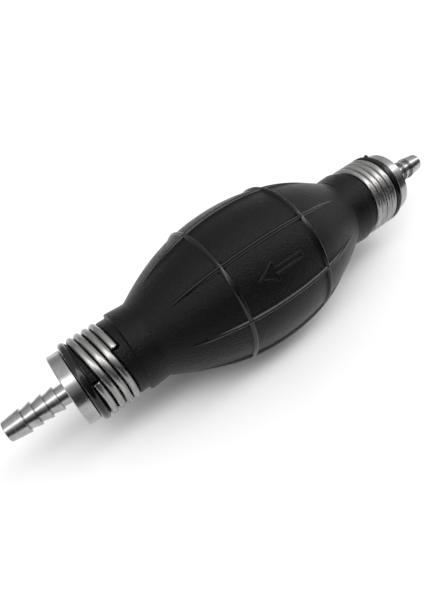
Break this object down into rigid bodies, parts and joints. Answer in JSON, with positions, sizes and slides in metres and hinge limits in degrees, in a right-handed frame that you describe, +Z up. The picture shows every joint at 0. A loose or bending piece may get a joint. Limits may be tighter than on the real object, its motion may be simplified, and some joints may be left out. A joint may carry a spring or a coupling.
{
  "type": "siphon bulb pump",
  "caption": "Hand-squeezed rubber bulb pump with ribs, turned metal hose barbs, coiled wire clamps and a spring-loaded check valve inside each end.",
  "frame": {"origin": "on the surface that the pump lies on, straight below the middle of the bulb", "axes": "+X along the bulb's axis towards the inlet barb, so liquid flows along -X; +Z up; the flow arrow is on the upper front, between -Y and +Z"},
  "size_m": [0.175, 0.0496, 0.0497],
  "materials": {
    "bulb_rubber": "matt moulded rubber, fine grain, soft sheen",
    "turned_aluminium": "turned, fine tool marks",
    "clamp_wire": "dull galvanised drawn wire",
    "spring_steel": "bright drawn stainless",
    "seat_brass": "turned",
    "valve_acetal": "satin moulded",
    "seal_rubber": "smooth"
  },
  "bodies": {
    "root": {"bulb_body": "bulb_rubber", "outlet_fitting": "turned_aluminium", "outlet_clamp": "clamp_wire", "outlet_retaining_ring": "spring_steel", "outlet_valve_seat": "seat_brass", "outlet_valve_spring": "spring_steel", "outlet_valve_cage": "valve_acetal", "inlet_fitting": "turned_aluminium", "inlet_clamp": "clamp_wire", "inlet_retaining_ring": "spring_steel", "inlet_valve_seat": "seat_brass", "inlet_valve_spring": "spring_steel", "inlet_valve_cage": "valve_acetal"},
    "grip_front": {"grip_wall_front": "bulb_rubber"},
    "grip_back": {"grip_wall_back": "bulb_rubber"},
    "outlet_valve": {"outlet_poppet": "valve_acetal", "outlet_poppet_seal": "seal_rubber"},
    "inlet_valve": {"inlet_poppet": "valve_acetal", "inlet_poppet_seal": "seal_rubber"}
  },
  "joints": [
    {"name": "front_squeeze", "type": "slide", "parent": "root", "child": "grip_front", "axis": [0, 1, 0], "range_m": [0, 0.007], "stiffness_N_per_m": 2000},
    {"name": "back_squeeze", "type": "slide", "parent": "root", "child": "grip_back", "axis": [0, -1, 0], "range_m": [0, 0.007], "stiffness_N_per_m": 2000},
    {"name": "outlet_valve_lift", "type": "slide", "parent": "root", "child": "outlet_valve", "axis": [-1, 0, 0], "range_m": [0, 0.0018], "stiffness_N_per_m": 120, "springref_m": -0.003, "deforming": ["outlet_valve_spring"]},
    {"name": "inlet_valve_lift", "type": "slide", "parent": "root", "child": "inlet_valve", "axis": [-1, 0, 0], "range_m": [0, 0.0018], "stiffness_N_per_m": 120, "springref_m": -0.003, "deforming": ["inlet_valve_spring"]}
  ],
  "couplings": [
    {"joint": "back_squeeze", "follows": "front_squeeze", "ratio": 1}
  ]
}
